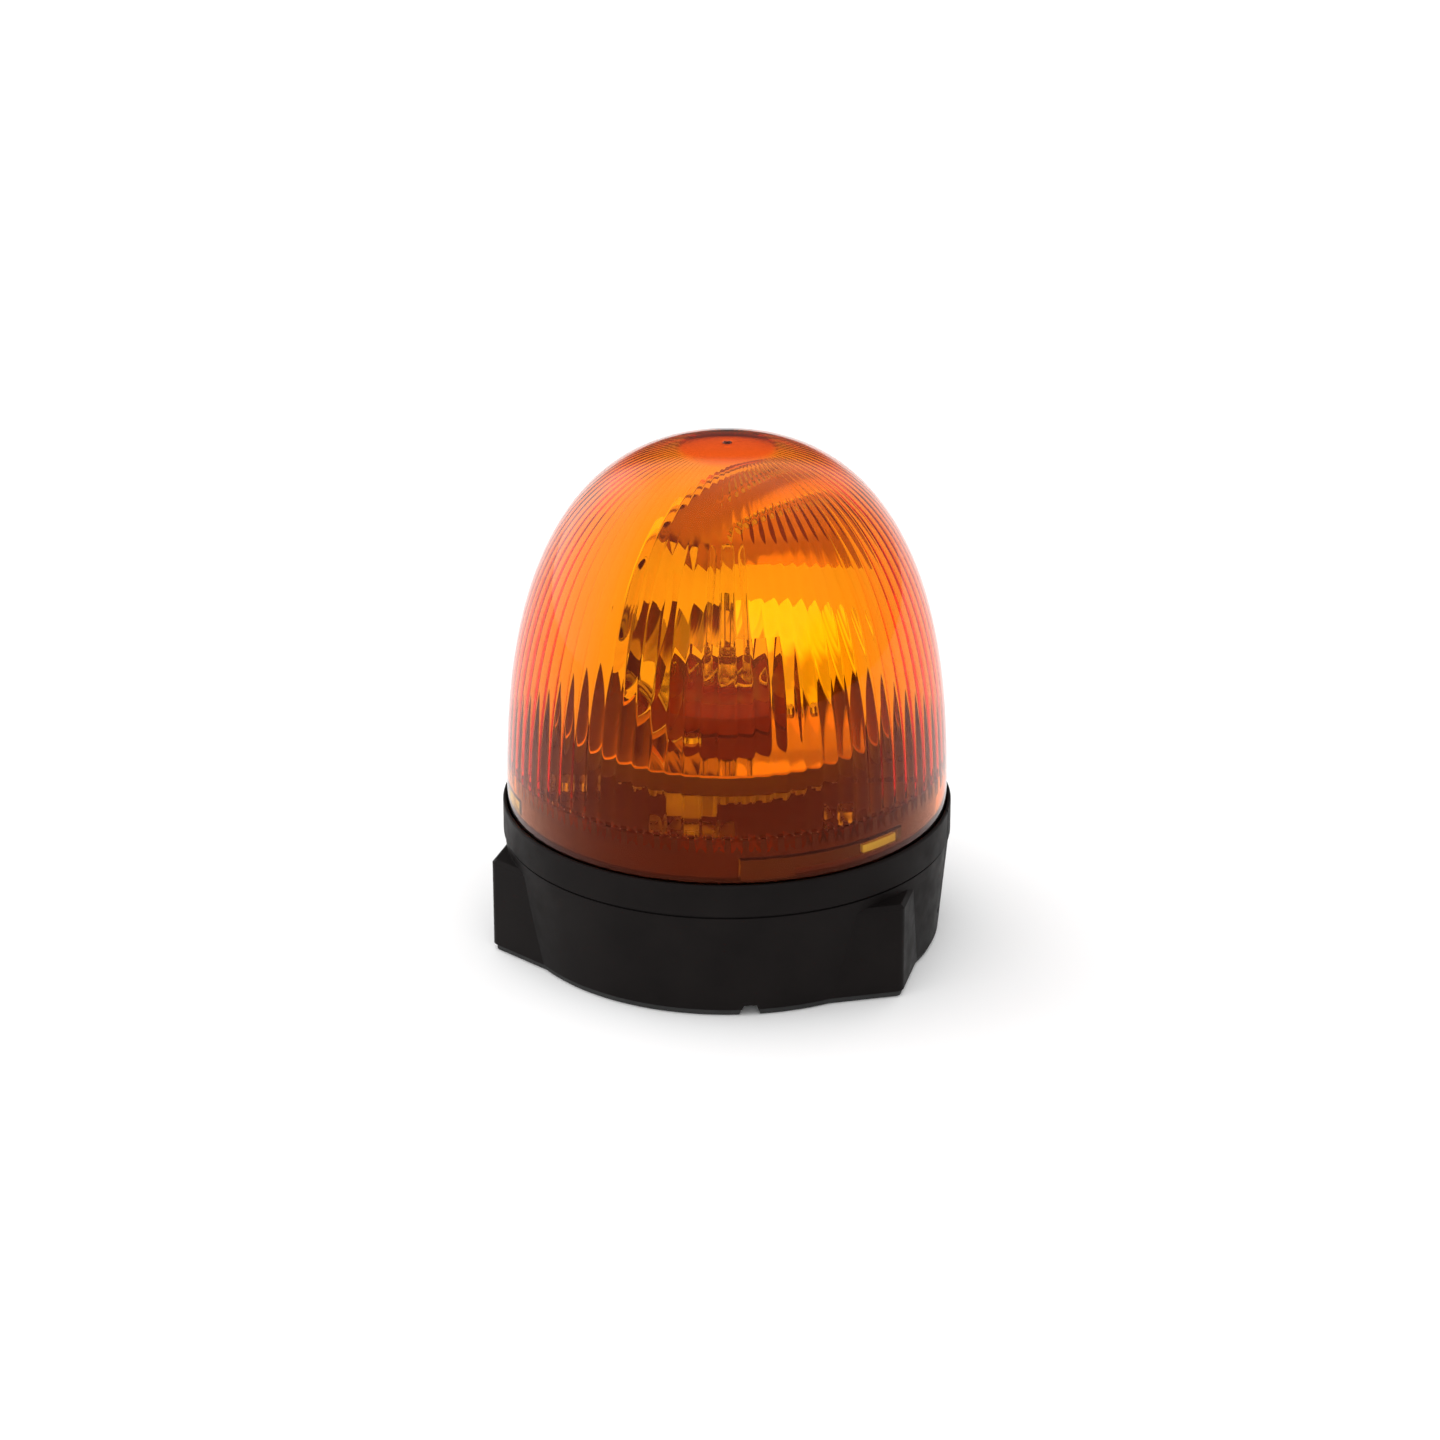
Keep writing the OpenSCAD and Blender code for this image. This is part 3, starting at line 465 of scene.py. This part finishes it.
def at_height(h, z):
    """Angle at which a dome profile of top height h reaches a height."""
    return math.degrees(math.asin(((z - RIM_H) / (h - RIM_H)) ** (FULLNESS / 2)))


def at_radius(r, q):
    """Angle at which a dome profile of foot radius r reaches a radius."""
    return math.degrees(math.acos((q / r) ** (FULLNESS / 2)))


def inward(t):
    """Inward normal of the inner dome profile, from two points close to angle t."""
    near = 0.2
    a, b = dome(LENS_RI, DOME_HI, t - near), dome(LENS_RI, DOME_HI, t + near)
    d = Vector((b[0] - a[0], b[1] - a[1])).normalized()
    return (-d.y, d.x)


def plain(point):
    """Profile that is the same in every column."""
    return lambda column: point


def fluted(t):
    """Profile of the inner dome at angle t, with the flutes on it."""
    (r, z), (dr, dz) = dome(LENS_RI, DOME_HI, t), inward(t)
    depth = FLUTE_DEPTH * (r / LENS_RI) ** FLUTE_FADE

    def profile(column):
        across = column % FLUTE_COLUMNS / FLUTE_COLUMNS
        lift = depth * (1 - (2 * across - 1) ** 2)
        return (r + lift * dr, z + lift * dz)
    return profile


def lens_outer(shell):
    """Outer face from the skirt to the nub on the crown; gives its lowest ring."""
    steps, chamfer, nub_foot = 84, 0.4, 0.5
    nub_edge = [(0.15, 0.03), (0.0, 0.25), (-0.25, NUB_H)]
    top = at_radius(LENS_R, NUB_R + nub_foot)
    profile = [(LENS_R - chamfer, SKIRT_Z), (LENS_R, SKIRT_Z + chamfer)]
    profile += [dome(LENS_R, DOME_H, top * i / steps) for i in range(steps + 1)]
    profile += [(NUB_R + dr, DOME_H + dz) for dr, dz in nub_edge]
    rings = [shell.ring(plain(p)) for p in profile]
    shell.loft(rings)
    shell.cap(rings[-1], LENS_TOP)
    return rings[0]


def lens_inner(shell):
    """Inner face from the smooth crown down over the flutes to the band; gives its lowest ring."""
    crown_steps, flute_steps, crown_gap, crown_top = 10, 96, 0.4, 89.2
    flute_low, flute_top = at_height(DOME_HI, FLUTE_Z), at_radius(LENS_RI, CROWN_R)
    crown_low = flute_top + crown_gap
    foot_r = dome(LENS_RI, DOME_HI, flute_low)[0]
    crown = [crown_low + (crown_top - crown_low) * i / crown_steps for i in range(crown_steps, -1, -1)]
    sides = [flute_low + (flute_top - flute_low) * i / flute_steps for i in range(flute_steps, -1, -1)]
    rings = [shell.ring(plain(dome(LENS_RI, DOME_HI, t))) for t in crown]
    rings += [shell.ring(fluted(t)) for t in sides]
    rings.append(shell.ring(plain((foot_r, BAND_TOP))))
    shell.loft(rings)
    shell.cap(rings[0], DOME_HI)
    return rings[-1]


# Rows of the band's grid, from the top down: wall over the track, track, and entry under it
BAND_ROWS = [BAND_TOP, TRACK_Z + TRACK_H, TRACK_Z, SKIRT_Z]
TRACK_ROW, ENTRY_ROW, FOOT_ROW = 1, 2, 3


def track_cells():
    """Cells (row, column) of the band's grid that the tracks take up."""
    cells = set()
    for i in range(LUGS):
        start = LUG_TURN - LUG_ARC / 2 - TWIST - ENTRY_PLAY + 360 / LUGS * i
        first = round(start / LENS_STEP)
        track_end = round((start + LUG_ARC + TWIST + ENTRY_PLAY + TRACK_PLAY) / LENS_STEP)
        entry_end = round((start + LUG_ARC + ENTRY_ROOM) / LENS_STEP)
        cells |= {(TRACK_ROW, k % LENS_COLUMNS) for k in range(first, track_end)}
        cells |= {(ENTRY_ROW, k % LENS_COLUMNS) for k in range(first, entry_end)}
    return cells


def lens_band(shell, outer_foot, inner_foot):
    """Smooth band: cells of a polar grid that lie at the wall or, in a track, deeper."""
    deep = track_cells()
    corners = {}

    def is_deep(row, k):
        return (row, k % LENS_COLUMNS) in deep

    def slope(row, k):
        """Shift of a track's corner towards the track, in degrees and millimetres."""
        above, below = ([is_deep(r, c) for c in (k - 1, k)] for r in (row - 1, row))
        right, left = above[1] + below[1], above[0] + below[0]
        up, down = sum(above), sum(below)
        aside = (right > left) - (right < left)
        rise = 0 if row == FOOT_ROW else (up > down) - (up < down)
        return aside * math.degrees(TRACK_SLOPE / TRACK_R), rise * TRACK_SLOPE

    def corner(row, k, in_track):
        key = (row, k % LENS_COLUMNS, in_track)
        if key not in corners:
            if in_track:
                aside, rise = slope(row, k)
                corners[key] = shell.point(TRACK_R, k * LENS_STEP + aside, BAND_ROWS[row] + rise)
            elif row == 0:
                corners[key] = inner_foot[k % LENS_COLUMNS]
            else:
                corners[key] = shell.point(LENS_RI, k * LENS_STEP, BAND_ROWS[row])
        return corners[key]

    def face(*spots):
        shell.faces.append([corner(*spot) for spot in spots])

    for row in range(FOOT_ROW):
        for k in range(LENS_COLUMNS):
            q, low = k + 1, row + 1
            here, beside, below = is_deep(row, k), is_deep(row, q), is_deep(low, k)
            face((row, k, here), (low, k, here), (low, q, here), (row, q, here))
            if here != beside:
                face((row, q, here), (low, q, here), (low, q, beside), (row, q, beside))
            if low < FOOT_ROW and here != below:
                face((low, k, here), (low, k, below), (low, q, below), (low, q, here))
    for k in range(LENS_COLUMNS):
        q = k + 1
        here, beside = is_deep(ENTRY_ROW, k), is_deep(ENTRY_ROW, q)
        foot = outer_foot[q % LENS_COLUMNS]
        shell.faces.append((outer_foot[k], foot, corner(FOOT_ROW, q, here), corner(FOOT_ROW, k, here)))
        if here != beside:
            shell.faces.append((foot, corner(FOOT_ROW, q, here), corner(FOOT_ROW, q, beside)))


def make_lens():
    shell = Shell()
    outer_foot = lens_outer(shell)
    inner_foot = lens_inner(shell)
    lens_band(shell, outer_foot, inner_foot)
    return add_mesh("lens_moulding", shell.verts, shell.faces, SHARP_FINE)


lens = make_lens()
put(lens, amber)
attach(lens, "lens")
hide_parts("lens_dome")


# Reflector: metallised bowl with ribs behind it, on the turntable disc

def bowl_depth(q, back=0.0):
    """Place of the bowl's surface along its axis at radius q, measured from the focus."""
    return q * q / (4 * FOCAL) - FOCAL - back


def clear_socket(ob):
    """Cuts the room for the bulb socket out of a piece that turns around it."""
    low, top = TABLE_H - ROOM_BELOW, BULB_PLANE + ROOM_ABOVE
    cut(ob, revolve("socket_room", [(0, low), (SOCKET_CLEAR, low), (SOCKET_CLEAR, top), (0, top)]))


def second_material(ob, first_faces):
    """Gives the faces after the first ones the object's second material."""
    for p in ob.data.polygons[first_faces:]:
        p.material_index = 1


def make_bowl():
    rings, around, bright_flange_rows = 48, 144, 4
    lip_step, lip_rise = 0.4, 0.25
    radii = [MOUTH_R * i / rings for i in range(rings + 1)]
    mouth, edge = bowl_depth(MOUTH_R), MOUTH_R + MOUTH_FLANGE
    profile = [(q, bowl_depth(q)) for q in radii]
    profile += [(MOUTH_R + lip_step, mouth + lip_rise), (edge - EDGE, mouth + lip_rise), (edge, mouth),
                (edge, mouth - MIRROR_T + EDGE), (edge - EDGE, mouth - MIRROR_T)]
    profile += [(q, bowl_depth(q, MIRROR_T)) for q in reversed(radii)]
    ob = revolve("reflector_bowl", profile, around, SHARP_CURVE, closed=False)
    second_material(ob, (rings + bright_flange_rows) * around)
    lay_flat = Matrix.Rotation(math.radians(90), 4, "Y")
    ob.data.transform(Matrix.Translation((0, 0, FOCUS_H * MM)) @ lay_flat)
    bm = bmesh.new()
    bm.from_mesh(ob.data)
    bmesh.ops.bisect_plane(bm, geom=bm.verts[:] + bm.edges[:] + bm.faces[:], clear_outer=True,
                           plane_co=(0, 0, (TABLE_H - SINK) * MM), plane_no=(0, 0, -1))
    bmesh.ops.holes_fill(bm, edges=[e for e in bm.edges if e.is_boundary], sides=0)
    bm.to_mesh(ob.data)
    bm.free()
    clear_socket(ob)
    smooth(ob, SHARP_CURVE)
    return ob


def make_rib(side):
    """Upright rib between the bowl's back and the disc."""
    steps = 12
    low, y = TABLE_H - SINK, side * RIB_X
    heights = [low + (RIB_TOP - low) * i / steps for i in range(steps + 1)]
    front = [bowl_depth(math.hypot(RIB_X, z - FOCUS_H), MIRROR_T / 2) for z in heights]
    outline = [(RIB_BACK, low)] + list(zip(front, heights)) + [(RIB_BACK, RIB_TOP)]
    verts = [(x, y + d, z) for d in (-RIB_T / 2, RIB_T / 2) for x, z in outline]
    n = len(outline)
    faces = [tuple(range(n)), tuple(range(2 * n - 1, n - 1, -1))]
    faces += [(k, (k + 1) % n, n + (k + 1) % n, n + k) for k in range(n)]
    ob = add_mesh("rib", verts, faces)
    clear_socket(ob)
    return ob


def make_disc():
    around, corner_r, corner_steps = 192, 0.8, 4
    under = TABLE_H - TABLE_T
    profile = [(POST_CLEAR, under), (POST_CLEAR, TABLE_H - EDGE), (POST_CLEAR + EDGE, TABLE_H)]
    profile += arc(TABLE_R - corner_r, TABLE_H - corner_r, corner_r, 90, 0, corner_steps)
    top_rows = len(profile) - 2
    # Rim and skirt rows take the second material, the dark moulding, as painted shade under the lit top
    profile += [(TABLE_R, TABLE_FOOT + EDGE), (TABLE_R - EDGE, TABLE_FOOT),
                (TABLE_R - SKIRT_T, TABLE_FOOT), (TABLE_R - SKIRT_T, under)]
    ob = revolve("turntable_disc", profile, around)
    second_material(ob, top_rows * around)
    return ob


bowl = make_bowl()
ribs = join("reflector_ribs", [make_rib(-1), make_rib(1)])
for ob in (bowl, ribs):
    turn(ob, FACE)
disc = make_disc()
put(bowl, chrome, dull)
put(ribs, dark)
# The disc's top gets the lit metal, and its rim and skirt the dark moulding as painted shade
put(disc, disc_lit_top, dark)
for ob in (bowl, ribs, disc):
    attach(ob, "rotor")
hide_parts("reflector")


# Bulb: quartz envelope, and a coiled filament on two lead wires

def make_envelope():
    around, steps, outer_end, inner_end = 64, 10, 80, 78
    pip_r, pip_low, pip_top, tip_t = 0.7, 0.1, 0.3, 1.1
    lead_sink, stem_rise, stem_slope = 1.0, 1.0, 1.4
    foot, stem = BULB_PLANE + GLASS_LIFT, BULB_PLANE + STEM_H + lead_sink
    inner_r, shoulder = BULB_R - GLASS_T, BULB_TIP - BULB_R
    profile = [(BULB_R, foot)] + arc(0, shoulder, BULB_R, 0, outer_end, steps)
    profile += [(pip_r, BULB_TIP + pip_low), (0, BULB_TIP + pip_top), (0, BULB_TIP - tip_t)]
    profile += arc(0, shoulder, inner_r, inner_end, 0, steps)
    profile += [(inner_r, stem + stem_rise), (inner_r - stem_slope, stem), (0, stem), (0, foot)]
    return revolve("bulb_envelope", profile, around, SHARP_CURVE)


def make_filament():
    coil_r, coil_l, turns, per_turn, wire_r = 0.9, 5.0, 11, 16, 0.16
    lead_y, lead_r, bend_h, bend_y = 1.9, 0.35, 0.6, 0.3
    foot = BULB_PLANE + STEM_H
    low, high = FOCUS_H - coil_l / 2, FOCUS_H + coil_l / 2
    count = turns * per_turn
    coil = [polar(coil_r, 90 + 360 * i / per_turn, high - coil_l * i / count) for i in range(count + 1)]
    parts = [tube("coil", coil, wire_r)]
    for side, end in ((1, high), (-1, low)):
        lead = [(0, side * lead_y, foot), (0, side * lead_y, end - bend_h),
                (0, side * (lead_y - bend_y), end), (0, coil_r, end)]
        parts.append(tube("lead", lead, lead_r))
    ob = join("filament_coil", parts)
    turn(ob, FACE)
    smooth(ob, SHARP_FINE)
    return ob


envelope = make_envelope()
put(envelope, glass)
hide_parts("bulb_glass")
filament = make_filament()
put(filament, tungsten)
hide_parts("bulb_filament")
for ob in (envelope, filament):
    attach(ob, "base")


# Floor, studio light and camera

def make_floor():
    mat = Mat("floor", (0.96, 0.96, 0.96), 0.9)
    mat.color(mat.noise(3, detail=2), (0.955, 0.955, 0.955), (0.965, 0.965, 0.965))
    ways = ((-1, -1), (1, -1), (1, 1), (-1, 1))
    corners = [(x * FLOOR_HALF, y * FLOOR_HALF, -FLOOR_DROP) for x, y in ways]
    ob = add_mesh("floor", corners, [(0, 1, 2, 3)])
    put(ob, mat)


def make_light():
    """World whose strength is PALE, but for the patches of sky around some directions."""
    world = bpy.data.worlds.new("studio")
    scene.world = world
    world.use_nodes = True
    tree = world.node_tree
    way = tree.nodes.new("ShaderNodeTexCoord").outputs["Generated"]
    level = tree.nodes.new("ShaderNodeValue").outputs["Value"]
    level.default_value = PALE
    for azimuth, elevation, inside, outside, value in PATCHES:
        dot = tree.nodes.new("ShaderNodeVectorMath")
        dot.operation = "DOT_PRODUCT"
        e = math.radians(elevation)
        dot.inputs[1].default_value = polar(math.cos(e), azimuth - 90, math.sin(e))
        tree.links.new(way, dot.inputs[0])
        fade = tree.nodes.new("ShaderNodeMapRange")
        fade.interpolation_type = "SMOOTHSTEP"
        fade.inputs["From Min"].default_value = math.cos(math.radians(outside))
        fade.inputs["From Max"].default_value = math.cos(math.radians(inside))
        tree.links.new(dot.outputs["Value"], fade.inputs["Value"])
        mix = tree.nodes.new("ShaderNodeMix")
        tree.links.new(fade.outputs["Result"], mix.inputs["Factor"])
        tree.links.new(level, mix.inputs["A"])
        mix.inputs["B"].default_value = value
        level = mix.outputs["Result"]
    background = tree.nodes["Background"]
    tree.links.new(level, background.inputs["Strength"])
    background.inputs["Color"].default_value = (1, 1, 1, 1)


def make_camera():
    data = bpy.data.cameras.new("camera")
    data.sensor_width = SENSOR_W
    data.lens = CAM_FOCAL / PHOTO_W * SENSOR_W
    ob = bpy.data.objects.new("camera", data)
    tilt = math.radians(CAM_TILT)
    ob.location = (CAM_X, -CAM_FAR * math.cos(tilt), CAM_Z + CAM_FAR * math.sin(tilt))
    ob.rotation_euler = (math.radians(90) - tilt, 0, 0)
    scene.collection.objects.link(ob)
    scene.camera = ob


make_floor()
make_light()
make_camera()
scene.view_settings.view_transform = "Standard"
scene.cycles.max_bounces = 24
scene.cycles.transmission_bounces = 24
scene.cycles.glossy_bounces = 8
